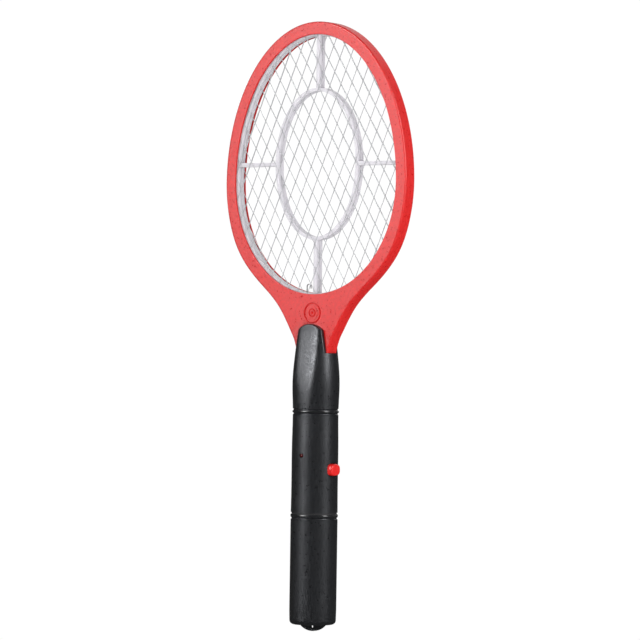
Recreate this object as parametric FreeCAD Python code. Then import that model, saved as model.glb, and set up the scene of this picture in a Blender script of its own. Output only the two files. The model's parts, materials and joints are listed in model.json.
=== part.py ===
import FreeCAD, Part
import math
import os
from FreeCAD import Vector

# Electric fly swatter. Millimetres. +Z runs up the handle to the head, the front faces -Y,
# +X is the push button's side. The origin is the centre of the hanging hole.

# ---------------------------------------------------------------- head
OPENING_HALF_WIDTH = 71.8
OPENING_CENTRE_Z = 322.5
OPENING_UP = 106.8            # widest level to the top of the opening
OPENING_DOWN = 81.7           # widest level to the bottom of the opening
FRAME_HALF_WIDTH = 80.5
FRAME_UP = 116.0              # widest level to the top of the frame
FRAME_HALF_DEPTH = 5.9
FRAME_WALL = 1.8
FRAME_EDGE_RADIUS = 1.2
LIP_THICKNESS = 1.2           # frame face over the net
LIP_EDGE_RADIUS = 0.35
BACK_LIP_INSET = 0.9          # the back lip reaches further in than the front one
SEAM = 0.05                   # half the hairline gap between paired mouldings

# the frame's flank from its widest level down to the throat: (half width, z)
FLANK = [(80.5, 322.5), (77.2, 295.0), (69.0, 273.0), (50.9, 251.0),
         (30.4, 231.0), (19.6, 213.5), (13.9, 198.3)]
THROAT_END_Z = 198.3
THROAT_FLOOR = 2.0            # solid below the frame's channel
TANG_HALF_WIDTH = 11.4
TANG_HALF_DEPTH = 5.0
TANG_BOTTOM_Z = 176.0
WIRE_WAY_HALF_WIDTH = 6.0
WIRE_WAY_HALF_DEPTH = 3.0
THROAT_SCREW_X = 16.0
THROAT_SCREW_Z = 230.0
THROAT_BOSS_RADIUS = 3.4
BADGE_Z = 227.3
BADGE_RADIUS = 7.4
BADGE_HEIGHT = 0.45
BADGE_RING_WIDTH = 0.9
BADGE_DISC_RADIUS = 4.9

# ---------------------------------------------------------------- spacers
SPACER_INSET = 0.7            # ring edge inside the front lip's edge
SPACER_WIDTH = 6.0            # ring reach outside the opening
SPACER_OUTER_Y = 3.6
SPACER_INNER_Y = 0.5
OVAL_HALF_WIDTH = 37.0
OVAL_HALF_HEIGHT = 55.2
OVAL_CENTRE_Z = 335.4
OVAL_WALL = 2.4
STRUT_WIDTH = 2.8

# ---------------------------------------------------------------- nets
WIRE_RADIUS = 0.22
WIRE_LAYER_GAP = 0.02         # between the two crossing sets of wires
NET_REACH = 2.4               # wire ends beyond the opening's edge
NET_Y = 4.15                  # middle of the guard nets
SHORTEST_WIRE = 12.0
LEFT_LEAN = 32.0              # degrees from upright, leaning to -X
LEFT_PITCH = 10.42            # across X
LEFT_START = 0.05             # X of one wire at the widest level, centre grid
RIGHT_LEAN = 23.2
RIGHT_PITCH = 9.42
RIGHT_START = 6.75
NET_STAGGER = 0.7265          # sideways shift of a layer per millimetre of depth

HOOK_X = -8.5
HOOK_Y = -1.05
HOOK_WIRE_RADIUS = 0.42
HOOK_BEND = 1.5

# ---------------------------------------------------------------- upper handle
HANDLE_BOTTOM_Z = 82.8
SHOULDER_Z = 198.2
# round body, which carries on up the tongues: (radius, z)
HANDLE_PROFILE = [(17.05, 82.8), (16.87, 106.0), (16.87, 134.0), (16.67, 158.0),
                  (17.17, 176.5), (16.1, 193.0), (15.4, 199.5), (13.2, 219.6)]
# front and back flats: (distance from the axis, z)
FLAT_PROFILE = [(28.0, 120.0), (21.5, 138.0), (18.4, 152.0), (16.8, 168.0), (15.3, 182.0),
                (12.2, 202.0), (10.3, 219.6)]
FLAT_BLEND = 1.4              # softens the line where a flat runs into the round
SECTION_SPANS = 16
SECTION_POINTS = 36
TONGUE_TOP_Z = 219.2
TONGUE_CORNER_Z = 214.6
TONGUE_TOP_HALF_WIDTH = 10.4
TONGUE_ROOT_HALF_WIDTH = 14.1
TONGUE_ROOT_Z = 192.0
TONGUE_EDGE_RADIUS = 1.2
CAVITY_RADIUS = 15.0
CAVITY_NECK_RADIUS = 12.0
CAVITY_TAPER_Z = 160.0
CAVITY_NECK_Z = 170.0
RING_GROOVE_RADIUS = 0.8      # half-round grooves
RING_GROOVE_PROUD = 0.15      # groove centre outside the surface
UPPER_GROOVE_OFFSET = 1.5     # groove centre to bead centre
LOWER_GROOVE_OFFSET = 1.75
UPPER_BEAD_Z = 155.75
LOWER_BEAD_Z = 80.3
BOSS_RADIUS = 3.0
BOSS_REACH = {92.5: 15.6, 167.0: 13.8}   # z: boss root, inside the shell wall
# z: (seat of the screw's head, tip)
SHELL_SCREWS = {92.5: (12.4, -8.0), 167.0: (10.4, -8.0), 207.0: (8.2, -8.6)}
CLAMP_SCREW_Z = 207.0         # the top screw, which also passes through the frame

# ---------------------------------------------------------------- button, switch, lamp
BUTTON_Z = 114.0
BUTTON_HALF_WIDTH = 5.3       # round the handle
BUTTON_HALF_HEIGHT = 4.25     # along the handle
BUTTON_CORNER_RADIUS = 3.2
BUTTON_FACE_RADIUS = 1.2      # edge of the thumb face
BUTTON_CLEARANCE = 0.25
BUTTON_FACE_X = 19.4
BUTTON_FLANGE_LIP = 0.8       # flange above and below the cap
BUTTON_FLANGE_X = 12.95
BUTTON_FLANGE_THICKNESS = 0.9
BUTTON_RECESS_LIP = 0.9       # sunk margin round the cap
BUTTON_RECESS_FLOOR = 16.15   # its radius from the handle's axis
SWITCH_FACE_X = 11.5
SWITCH_DEPTH = 3.6
SWITCH_FRONT_Y = -4.7
SWITCH_HALF_HEIGHT = 3.0
SWITCH_LEG_X = 9.7
SWITCH_LEG_Z = 2.3            # above and below the button's middle
PLUNGER_RADIUS = 1.75
LAMP_Z = 124.2
LAMP_RADIUS = 1.5
LAMP_DOME_Y = -15.6
LAMP_COLLAR_Y = -11.4
LAMP_COLLAR_RADIUS = 1.9
LAMP_LEG_X = 1.0

# ---------------------------------------------------------------- circuit board
BOARD_FRONT_Y = 2.0
BOARD_BACK_Y = 3.6
BOARD_HALF_WIDTH = 12.0
BOARD_BOTTOM_Z = 97.0
BOARD_TOP_Z = 161.0
BUTTON_NOTCH_X = 11.2         # room for the pressed button's flange
BUTTON_NOTCH = 5.8
TRANSFORMER_Z = 142.0
TRANSFORMER_Y = -5.0
CORE_HALF_WIDTH = 8.0
CORE_HALF_HEIGHT = 6.5
CORE_HALF_DEPTH = 2.4
CORE_WINDOW = (2.4, 5.8)      # X reach of the winding's space
CORE_WINDOW_HALF_HEIGHT = 4.0
BOBBIN_HALF_HEIGHT = 3.9
BOBBIN_CHEEK = 0.7            # thickness of its two end plates
FILM_CAPACITOR_LEGS = ((-7.0, 104.2), (3.0, 104.2))      # (x, z)
TRANSISTOR_X = -7.0
TRANSISTOR_Z = 113.5
RESISTOR_X = (4.6, 7.6, 10.4)
RESISTOR_Z = 126.5
DIODE_X = (-8.0, -4.4, 4.4, 8.0)
DIODE_Z = 154.6
CERAMIC_X = -7.9
CERAMIC_Y = -3.4
CERAMIC_Z = (120.6, 129.6)
CERAMIC_RADIUS = 3.9

# ---------------------------------------------------------------- lower handle
SLEEVE_RADIUS = 17.05
SLEEVE_BORE = 15.25
SLEEVE_END_Z = 1.5
SLEEVE_TOP_Z = 81.3
SLEEVE_FLOOR = 3.5
SLEEVE_END_RADIUS = 3.0
SLEEVE_TAPER_Z = 12.0         # the end narrows slightly below here
SLEEVE_TAPER = 0.25
TAB_RADIUS = 15.8
TAB_LOWEST_Z = -3.4
TAB_HALF_THICKNESS = 1.15
HANG_HOLE_RADIUS = 1.35
CELL_RADIUS = 7.15
CELL_X = 7.35
CELL_BOTTOM_Z = 13.2
CELL_LENGTH = 50.5
CELL_NUB_RADIUS = 2.6
CELL_NUB_HEIGHT = 1.2
CARRIER_RADIUS = 14.9
CARRIER_BOTTOM_Z = 9.5
CARRIER_TOP_Z = 89.0
FLANGE_RADIUS = 16.45
TOP_WALL_Z = CELL_BOTTOM_Z + CELL_LENGTH + 2.4
CONTACT_HALF_WIDTH = 4.6
CONTACT_THICKNESS = 0.35
CONTACT_CORNER_RADIUS = 1.5
SPRING_WIDE_RADIUS = 4.6
SPRING_TAPER = 2.6            # how much its radius shrinks
SPRING_WIRE_RADIUS = 0.25
SPRING_TURNS = 2.5

FAR = 40.0                    # larger than any half size across the handle


# ================================================================ basic shapes
def box(x0, x1, y0, y1, z0, z1):
    return Part.makeBox(x1 - x0, y1 - y0, z1 - z0, Vector(x0, y0, z0))


def rod(radius, start, end):
    start, end = Vector(*start), Vector(*end)
    along = end - start
    return Part.makeCylinder(radius, along.Length, start, along)


def solid_of(shape):
    return shape.removeSplitter()


def mirror_x(shape):
    return shape.mirror(Vector(0, 0, 0), Vector(1, 0, 0))


def mirror_y(shape):
    return shape.mirror(Vector(0, 0, 0), Vector(0, 1, 0))


def prism(wire, y0, y1):
    """A flat XZ outline made into a plate from y0 to y1."""
    plate = Part.Face(wire).extrude(Vector(0, y1 - y0, 0))
    plate.translate(Vector(0, y0, 0))
    return plate


def spline(points, first_tangent=None, last_tangent=None):
    curve = Part.BSplineCurve()
    if first_tangent is None:
        curve.interpolate(points)
    else:
        curve.interpolate(Points=points, InitialTangent=first_tangent, FinalTangent=last_tangent)
    return curve


def turned(edges):
    """Edges in the XZ half plane, closed on the Z axis and turned once round it."""
    profile = Part.Face(Part.Wire(Part.__sortEdges__(edges)))
    return profile.revolve(Vector(0, 0, 0), Vector(0, 0, 1), 360)


def line(start, end):
    return Part.makeLine(Vector(*start), Vector(*end))


def bent_rod(radius, points, bend):
    """A round wire along straight runs joined by tangent arcs."""
    points = [Vector(*point) for point in points]
    edges = []
    last = points[0]
    for before, corner, after in zip(points, points[1:], points[2:]):
        into = (corner - before).normalize()
        out = (after - corner).normalize()
        half_turn = into.getAngle(out) / 2
        cut = bend * math.tan(half_turn)
        start = corner - into * cut
        end = corner + out * cut
        bisector = (out - into).normalize()
        centre = corner + bisector * (bend / math.cos(half_turn))
        middle = centre - bisector * bend
        edges.append(Part.makeLine(last, start))
        edges.append(Part.Arc(start, middle, end).toShape())
        last = end
    edges.append(Part.makeLine(last, points[-1]))
    path = Part.Wire(edges)
    first_run = (points[1] - points[0]).normalize()
    section = Part.Wire(Part.makeCircle(radius, points[0], first_run))
    return path.makePipeShell([section], True, True)


# ================================================================ outlines
def oval_wire(half_width, up, down, centre_z=OPENING_CENTRE_Z):
    """Two half ellipses that meet at the widest level."""
    centre = Vector(0, 0, centre_z)
    side = Vector(half_width, 0, centre_z)
    top = Part.Ellipse(Vector(0, 0, centre_z + up), side, centre)
    bottom = Part.Ellipse(Vector(0, 0, centre_z - down), side, centre)
    quarter = math.pi / 2
    halves = [top.toShape(-quarter, quarter), bottom.toShape(-quarter, quarter)]
    return Part.Wire(Part.__sortEdges__(halves))


def opening_wire(outward):
    """The head's opening, moved outward everywhere by about the given distance."""
    return oval_wire(OPENING_HALF_WIDTH + outward, OPENING_UP + outward, OPENING_DOWN + outward)


def flank_curve(inset):
    base = spline([Vector(x, 0, z) for x, z in FLANK], Vector(0, 0, -1), Vector(-0.22, 0, -1))
    shifted = []
    for x, z in FLANK:
        point = Vector(x, 0, z)
        tangent = base.tangent(base.parameter(point))[0]
        shifted.append(point + Vector(tangent.z, 0, -tangent.x) * inset)
    return spline(shifted, Vector(0, 0, -1), Vector(-0.22, 0, -1))


def frame_wire(inset):
    """The frame's outer outline down to the throat's end, moved in by the inset."""
    centre = Vector(0, 0, OPENING_CENTRE_Z)
    side = Vector(FRAME_HALF_WIDTH - inset, 0, OPENING_CENTRE_Z)
    top = Part.Ellipse(Vector(0, 0, OPENING_CENTRE_Z + FRAME_UP - inset), side, centre)
    crown = top.toShape(-math.pi / 2, math.pi / 2)
    right = flank_curve(inset).toShape()
    left = mirror_x(right)
    end = right.Vertexes[-1].Point
    foot = line((end.x, 0, end.z), (-end.x, 0, end.z))
    return Part.Wire(Part.__sortEdges__([crown, right, left, foot]))


# ================================================================ head frame
def front_face_edges(plate):
    """Edges of a plate's front face on the outline's crown and flanks, not its foot."""
    front = min(edge.BoundBox.YMin for edge in plate.Edges)
    return [edge for edge in plate.Edges
            if edge.BoundBox.YMax - front < 0.01 and edge.BoundBox.ZLength > 5]


def opening_edges(half):
    """Edges of the front face round the opening."""
    reach = OPENING_HALF_WIDTH + 1
    return [edge for edge in half.Edges
            if edge.BoundBox.YMax < -FRAME_HALF_DEPTH + 0.01 and edge.BoundBox.ZMin > THROAT_END_Z + 5
            and edge.BoundBox.XMin > -reach and edge.BoundBox.XMax < reach]


def head_half(lip_inset):
    """The front half of the frame: a shallow tray, open at the parting plane."""
    plate = prism(frame_wire(0), -FRAME_HALF_DEPTH, -SEAM)
    plate = plate.makeFillet(FRAME_EDGE_RADIUS, front_face_edges(plate))
    pocket = prism(frame_wire(FRAME_WALL), -FRAME_HALF_DEPTH + LIP_THICKNESS, 0)
    half = plate.cut(pocket.cut(box(-FAR, FAR, -FAR, FAR, 0, THROAT_END_Z + THROAT_FLOOR)))
    half = half.cut(prism(opening_wire(-lip_inset), -10, 10))
    half = half.makeFillet(LIP_EDGE_RADIUS, opening_edges(half))
    tang = box(-TANG_HALF_WIDTH, TANG_HALF_WIDTH, -TANG_HALF_DEPTH, -SEAM,
               TANG_BOTTOM_Z, THROAT_END_Z + 1.0)
    half = half.fuse(tang)
    wire_way = box(-WIRE_WAY_HALF_WIDTH, WIRE_WAY_HALF_WIDTH, -WIRE_WAY_HALF_DEPTH, 0,
                   TANG_BOTTOM_Z - 1, THROAT_END_Z + 4)
    clamp_hole = rod(1.6, (0, -10, CLAMP_SCREW_Z), (0, 10, CLAMP_SCREW_Z))
    half = half.cut([wire_way, clamp_hole])
    bosses = [rod(THROAT_BOSS_RADIUS, (x, -FRAME_HALF_DEPTH + 1, THROAT_SCREW_Z),
                  (x, -SEAM, THROAT_SCREW_Z)) for x in (-THROAT_SCREW_X, THROAT_SCREW_X)]
    return half.fuse(bosses)


def head_front_frame():
    half = head_half(0)
    for x in (-THROAT_SCREW_X, THROAT_SCREW_X):
        half = half.cut(rod(1.3, (x, -3.6, THROAT_SCREW_Z), (x, 0, THROAT_SCREW_Z)))
    face = -FRAME_HALF_DEPTH
    badge = rod(BADGE_RADIUS, (0, face + 0.5, BADGE_Z), (0, face - BADGE_HEIGHT, BADGE_Z))
    hollow = rod(BADGE_RADIUS - BADGE_RING_WIDTH, (0, face, BADGE_Z), (0, face - 1, BADGE_Z))
    disc = rod(BADGE_DISC_RADIUS, (0, face + 0.5, BADGE_Z), (0, face - BADGE_HEIGHT, BADGE_Z))
    half = half.fuse([badge.cut(hollow), disc])
    return solid_of(half)


def head_back_frame():
    half = mirror_y(head_half(BACK_LIP_INSET))
    for x in (-THROAT_SCREW_X, THROAT_SCREW_X):
        half = half.cut(rod(1.5, (x, 0, THROAT_SCREW_Z), (x, 10, THROAT_SCREW_Z)))
        half = half.cut(rod(2.9, (x, FRAME_HALF_DEPTH - 2.0, THROAT_SCREW_Z), (x, 10, THROAT_SCREW_Z)))
    return solid_of(half)


# ================================================================ spacers and nets
def spacer(y0, y1):
    """A ring in the frame's channel that carries an oval ring on four struts."""
    ring = prism(opening_wire(SPACER_WIDTH), y0, y1)
    ring = ring.cut(prism(opening_wire(-SPACER_INSET), y0 - 1, y1 + 1))
    oval = prism(oval_wire(OVAL_HALF_WIDTH, OVAL_HALF_HEIGHT, OVAL_HALF_HEIGHT, OVAL_CENTRE_Z), y0, y1)
    inside = prism(oval_wire(OVAL_HALF_WIDTH - OVAL_WALL, OVAL_HALF_HEIGHT - OVAL_WALL,
                             OVAL_HALF_HEIGHT - OVAL_WALL, OVAL_CENTRE_Z), y0 - 1, y1 + 1)
    half = STRUT_WIDTH / 2
    reach_x = OPENING_HALF_WIDTH + 2
    low_z = OPENING_CENTRE_Z - OPENING_DOWN - 2
    high_z = OPENING_CENTRE_Z + OPENING_UP + 2
    struts = [box(-reach_x, reach_x, y0, y1, OVAL_CENTRE_Z - half, OVAL_CENTRE_Z + half),
              box(-half, half, y0, y1, low_z, high_z)]
    spider = oval.fuse(struts).cut(inside)
    return solid_of(ring.fuse(spider))


def front_spacer():
    """The front spacer has a slot in its rear face for the hook's wire."""
    bottom_z = OPENING_CENTRE_Z - OPENING_DOWN
    slot = box(HOOK_X - 0.7, HOOK_X + 0.7, HOOK_Y - 0.6, 0, bottom_z - 10, bottom_z + 4)
    return solid_of(spacer(-SPACER_OUTER_Y, -SPACER_INNER_Y).cut(slot))


def net_wires(lean, pitch, start, y):
    """One set of parallel wires, each cut to the opening's oval."""
    slope = math.tan(math.radians(lean))
    reach_z = OPENING_UP + 10
    reach_x = OPENING_HALF_WIDTH + abs(slope) * reach_z
    outline = prism(opening_wire(NET_REACH), y - 1, y + 1)
    wires = []
    first = math.ceil((-reach_x - start) / pitch)
    last = math.floor((reach_x - start) / pitch)
    for number in range(first, last + 1):
        x = start + number * pitch
        low = (x - slope * reach_z, y, OPENING_CENTRE_Z - reach_z)
        high = (x + slope * reach_z, y, OPENING_CENTRE_Z + reach_z)
        trimmed = rod(WIRE_RADIUS, low, high).common(outline)
        wires.extend(piece for piece in trimmed.Solids if piece.BoundBox.ZLength > SHORTEST_WIRE)
    return wires


def net(y):
    """Two crossing sets of wires, laid one on the other."""
    shift = -y * NET_STAGGER
    apart = WIRE_RADIUS + WIRE_LAYER_GAP / 2
    wires = net_wires(-LEFT_LEAN, LEFT_PITCH, LEFT_START + shift, y - apart)
    wires += net_wires(RIGHT_LEAN, RIGHT_PITCH, RIGHT_START + shift, y + apart)
    return Part.makeCompound(wires)


def hv_hook():
    """A bare wire that rises through the ring and hooks over the grid."""
    bottom_z = OPENING_CENTRE_Z - OPENING_DOWN
    top_z = bottom_z + 7.2
    across = 2 * HOOK_BEND + 0.4
    points = [(HOOK_X, HOOK_Y, bottom_z - 8),
              (HOOK_X, HOOK_Y, top_z),
              (HOOK_X + across, HOOK_Y, top_z),
              (HOOK_X + across, HOOK_Y, top_z - 3.2)]
    return bent_rod(HOOK_WIRE_RADIUS, points, HOOK_BEND)


def hv_lead():
    hook_foot = OPENING_CENTRE_Z - OPENING_DOWN - 8
    points = [(-4.2, 0, BOARD_TOP_Z + 0.5), (-4.2, 0, 204), (HOOK_X, HOOK_Y, 220),
              (HOOK_X, HOOK_Y, hook_foot)]
    return bent_rod(0.75, points, 8)


def ground_lead():
    points = [(4.2, 0, BOARD_TOP_Z + 0.5), (4.2, 0, 200), (8.5, -2.5, 219), (8.5, -3.0, 232)]
    return bent_rod(0.75, points, 8)


# ================================================================ screws
def tapping_screw(x, z, head_y, tip_y, shank_radius, head_radius, head_height):
    """A pan-head screw driven from the back, with a cross recess."""
    head = rod(head_radius, (x, head_y, z), (x, head_y + head_height, z))
    head = head.makeFillet(head_height * 0.4, [head.Edges[0]])
    arm = head_radius * 0.55
    for half_x, half_z in ((arm, 0.3), (0.3, arm)):
        head = head.cut(box(x - half_x, x + half_x, head_y + head_height * 0.4, head_y + 5,
                            z - half_z, z + half_z))
    shank = rod(shank_radius, (x, tip_y, z), (x, head_y + 0.1, z))
    return head.fuse(shank)


def throat_screws():
    head_y = FRAME_HALF_DEPTH - 2.0
    screws = [tapping_screw(x, THROAT_SCREW_Z, head_y, -3.4, 1.2, 2.6, 1.6)
              for x in (-THROAT_SCREW_X, THROAT_SCREW_X)]
    return Part.makeCompound(screws)


def handle_screws():
    screws = [tapping_screw(0, z, head_y, tip_y, 1.2, 2.4, 1.7)
              for z, (head_y, tip_y) in SHELL_SCREWS.items()]
    return Part.makeCompound(screws)


# ================================================================ upper handle
def ring_groove(z, radius):
    """A half-round groove's cutter."""
    return Part.makeTorus(radius + RING_GROOVE_PROUD, RING_GROOVE_RADIUS, Vector(0, 0, z))


def reach_at(profile, z):
    """A profile curve's distance from the axis at one level."""
    curve = spline([Vector(reach, 0, level) for reach, level in profile])
    low, high = curve.FirstParameter, curve.LastParameter
    for _ in range(40):
        middle = (low + high) / 2
        if curve.value(middle).z < z:
            low = middle
        else:
            high = middle
    return curve.value(low).x


def section(z):
    """The handle's outline at one level: a circle that runs softly into two flats."""
    radius, flat = reach_at(HANDLE_PROFILE, z), reach_at(FLAT_PROFILE, z)
    points = []
    for number in range(SECTION_POINTS):
        angle = 2 * math.pi * number / SECTION_POINTS
        to_flat = min(flat / max(abs(math.sin(angle)), 0.01), 4 * flat)
        apart = to_flat - radius
        reach = (to_flat + radius - math.sqrt(apart ** 2 + FLAT_BLEND ** 2)) / 2
        points.append(Vector(reach * math.cos(angle), reach * math.sin(angle), z))
    outline = Part.BSplineCurve()
    outline.interpolate(points, PeriodicFlag=True)
    return Part.Wire([outline.toShape()])


def tongue_outline():
    w_root, w_top = TONGUE_ROOT_HALF_WIDTH, TONGUE_TOP_HALF_WIDTH
    arc = Part.Arc(Vector(-w_top, 0, TONGUE_CORNER_Z), Vector(0, 0, TONGUE_TOP_Z),
                   Vector(w_top, 0, TONGUE_CORNER_Z)).toShape()
    return Part.Wire([arc,
                      line((w_top, 0, TONGUE_CORNER_Z), (w_root, 0, TONGUE_ROOT_Z)),
                      line((w_root, 0, TONGUE_ROOT_Z), (-w_root, 0, TONGUE_ROOT_Z)),
                      line((-w_root, 0, TONGUE_ROOT_Z), (-w_top, 0, TONGUE_CORNER_Z))])


def tongue_rim(body):
    """Edges round the outside of the front tongue above the shoulder."""
    spread = (TONGUE_ROOT_HALF_WIDTH - TONGUE_TOP_HALF_WIDTH) / (TONGUE_CORNER_Z - TONGUE_ROOT_Z)
    rim = []
    for edge in body.Edges:
        middle = edge.valueAt((edge.FirstParameter + edge.LastParameter) / 2)
        side_x = TONGUE_TOP_HALF_WIDTH + (TONGUE_CORNER_Z - middle.z) * spread
        on_side = abs(abs(middle.x) - side_x) < 0.05 and middle.z > SHOULDER_Z + 0.1
        on_arc = middle.z > TONGUE_CORNER_Z + 0.01 and edge.BoundBox.XLength > 1
        square_on = edge.BoundBox.ZLength < 0.01 and edge.BoundBox.XLength < 0.01
        if (on_side or on_arc) and middle.y < -FRAME_HALF_DEPTH - 1 and not square_on:
            rim.append(edge)
    return rim


def grip_body():
    """The front half of the handle's outside: grip, shoulder and tongue in one piece."""
    low_z, high_z = HANDLE_PROFILE[0][1], HANDLE_PROFILE[-1][1]
    rise = (high_z - low_z) / SECTION_SPANS
    sections = [section(low_z + rise * number) for number in range(SECTION_SPANS + 1)]
    body = Part.makeLoft(sections, True, False)
    above = box(-FAR, FAR, -FAR, FAR, SHOULDER_Z, 300)
    beside = above.cut(prism(tongue_outline(), -FAR, FAR))
    throat_room = box(-FAR, FAR, -FRAME_HALF_DEPTH - SEAM, FAR, SHOULDER_Z, 300)
    body = body.cut([beside, throat_room])
    body = body.common(box(-FAR, FAR, -FAR, -SEAM, 0, 300))
    return body.makeFillet(TONGUE_EDGE_RADIUS, tongue_rim(body))


def shell_cavity():
    edges = [line((0, 0, HANDLE_BOTTOM_Z - 1), (CAVITY_RADIUS, 0, HANDLE_BOTTOM_Z - 1)),
             line((CAVITY_RADIUS, 0, HANDLE_BOTTOM_Z - 1), (CAVITY_RADIUS, 0, CAVITY_TAPER_Z)),
             line((CAVITY_RADIUS, 0, CAVITY_TAPER_Z), (CAVITY_NECK_RADIUS, 0, CAVITY_NECK_Z)),
             line((CAVITY_NECK_RADIUS, 0, CAVITY_NECK_Z), (CAVITY_NECK_RADIUS, 0, TANG_BOTTOM_Z)),
             line((CAVITY_NECK_RADIUS, 0, TANG_BOTTOM_Z), (0, 0, TANG_BOTTOM_Z)),
             line((0, 0, TANG_BOTTOM_Z), (0, 0, HANDLE_BOTTOM_Z - 1))]
    tang_slot = box(-TANG_HALF_WIDTH - SEAM, TANG_HALF_WIDTH + SEAM,
                    -TANG_HALF_DEPTH - SEAM, TANG_HALF_DEPTH + SEAM,
                    TANG_BOTTOM_Z - SEAM, SHOULDER_Z + 1)
    return turned(edges).fuse(tang_slot)


def button_block(wider, taller, x0, x1):
    """The push button's outline, let out by the given margins and drawn along X."""
    half_width = BUTTON_HALF_WIDTH + wider
    half_height = BUTTON_HALF_HEIGHT + taller
    block = box(x0, x1, -half_width, half_width, BUTTON_Z - half_height, BUTTON_Z + half_height)
    corners = [edge for edge in block.Edges if edge.BoundBox.XLength > x1 - x0 - 0.01]
    return block.makeFillet(BUTTON_CORNER_RADIUS + wider, corners)


def shell_blank():
    """The front shell before its own holes; the back shell is its mirror image."""
    body = grip_body()
    for offset in (-UPPER_GROOVE_OFFSET, UPPER_GROOVE_OFFSET):
        body = body.cut(ring_groove(UPPER_BEAD_Z + offset, HANDLE_PROFILE[3][0]))
    body = body.cut(shell_cavity())
    for z, root in BOSS_REACH.items():
        body = body.fuse(rod(BOSS_RADIUS, (0, -root, z), (0, -0.2, z)))
    for z in (BOARD_BOTTOM_Z + 4, BOARD_TOP_Z - 6):
        for side in (-1, 1):
            x0, x1 = sorted((side * 10.6, side * 15.5))
            rib = box(x0, x1, -6, -SEAM, z - 0.7, z + 0.7)
            body = body.fuse(rib.common(rod(16, (0, 0, z - 2), (0, 0, z + 2))))
    hole = button_block(BUTTON_CLEARANCE, BUTTON_CLEARANCE, BUTTON_FLANGE_X - 4, FAR)
    recess = button_block(BUTTON_RECESS_LIP, BUTTON_RECESS_LIP, BUTTON_FLANGE_X, FAR)
    floor = rod(BUTTON_RECESS_FLOOR, (0, 0, BUTTON_Z - FAR), (0, 0, BUTTON_Z + FAR))
    return body.cut([hole, recess.cut(floor)])


def handle_front_shell():
    shell = shell_blank()
    for z, (head_y, tip_y) in SHELL_SCREWS.items():
        shell = shell.cut(rod(1.3, (0, tip_y - 0.4, z), (0, 0, z)))
    shell = shell.cut(rod(LAMP_RADIUS + 0.1, (0, -FAR, LAMP_Z), (0, -10, LAMP_Z)))
    return solid_of(shell)


def handle_back_shell():
    shell = mirror_y(shell_blank())
    # shallow the ribs and lower boss so that the board can stand in this half
    board_room = box(-BOARD_HALF_WIDTH - 0.2, BOARD_HALF_WIDTH + 0.2, 0, BOARD_BACK_Y + 0.05,
                     BOARD_BOTTOM_Z - 0.2, BOARD_TOP_Z + 0.2)
    shell = shell.cut(board_room)
    for z, (head_y, tip_y) in SHELL_SCREWS.items():
        shell = shell.cut(rod(1.4, (0, -1, z), (0, FAR, z)))
        shell = shell.cut(rod(2.7, (0, head_y, z), (0, FAR, z)))
    return solid_of(shell)


# ================================================================ button, switch, lamp
def push_button():
    cap = button_block(0, 0, BUTTON_FLANGE_X, BUTTON_FACE_X)
    rim = [edge for edge in cap.Edges if edge.BoundBox.XMin > BUTTON_FACE_X - 0.1]
    cap = cap.makeFillet(BUTTON_FACE_RADIUS, rim)
    flange = button_block(0, BUTTON_FLANGE_LIP, BUTTON_FLANGE_X,
                          BUTTON_FLANGE_X + BUTTON_FLANGE_THICKNESS)
    return solid_of(cap.fuse(flange))


def switch_body():
    body = box(SWITCH_FACE_X - SWITCH_DEPTH, SWITCH_FACE_X, SWITCH_FRONT_Y, BOARD_FRONT_Y,
               BUTTON_Z - SWITCH_HALF_HEIGHT, BUTTON_Z + SWITCH_HALF_HEIGHT)
    well = rod(PLUNGER_RADIUS + 0.1, (SWITCH_FACE_X - 1.6, 0, BUTTON_Z), (FAR, 0, BUTTON_Z))
    legs = [rod(0.35, (SWITCH_LEG_X, BOARD_FRONT_Y, z), (SWITCH_LEG_X, BOARD_BACK_Y + 1, z))
            for z in (BUTTON_Z - SWITCH_LEG_Z, BUTTON_Z + SWITCH_LEG_Z)]
    return solid_of(body.cut(well).fuse(legs))


def switch_plunger():
    return rod(PLUNGER_RADIUS, (SWITCH_FACE_X - 0.2, 0, BUTTON_Z), (BUTTON_FLANGE_X, 0, BUTTON_Z))


def indicator_led():
    lens = rod(LAMP_RADIUS, (0, LAMP_COLLAR_Y, LAMP_Z), (0, LAMP_DOME_Y, LAMP_Z))
    dome = Part.makeSphere(LAMP_RADIUS, Vector(0, LAMP_DOME_Y, LAMP_Z))
    collar = rod(LAMP_COLLAR_RADIUS, (0, LAMP_COLLAR_Y, LAMP_Z), (0, LAMP_COLLAR_Y - 1, LAMP_Z))
    legs = [rod(0.25, (x, LAMP_COLLAR_Y - 0.6, LAMP_Z), (x, BOARD_BACK_Y + 0.6, LAMP_Z))
            for x in (-LAMP_LEG_X, LAMP_LEG_X)]
    return solid_of(lens.fuse([dome, collar] + legs))


# ================================================================ circuit
LEG_HOLES = []


def legs_through(points, start_y, radius=0.3):
    """Component legs from a body down through the board; each also makes its hole."""
    legs = []
    for x, z in points:
        legs.append(rod(radius, (x, start_y, z), (x, BOARD_BACK_Y + 1.2, z)))
        LEG_HOLES.append((x, z))
    return legs


def film_capacitor():
    body = box(-9.5, 5.5, -8.4, BOARD_FRONT_Y - 0.1, 99, 109.5)
    body = body.makeFillet(0.8, body.Edges)
    return solid_of(body.fuse(legs_through(FILM_CAPACITOR_LEGS, 0)))


def transistor():
    """A round can with one flat side and three legs in a row."""
    can = rod(2.4, (TRANSISTOR_X, -4.6, TRANSISTOR_Z), (TRANSISTOR_X, 0.4, TRANSISTOR_Z))
    flat_z = TRANSISTOR_Z + 1.5
    can = can.cut(box(-FAR, FAR, -FAR, FAR, flat_z, flat_z + 3))
    legs = [(TRANSISTOR_X + dx, TRANSISTOR_Z) for dx in (-1.3, 0, 1.3)]
    return solid_of(can.fuse(legs_through(legs, 0.2, 0.22)))


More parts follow.
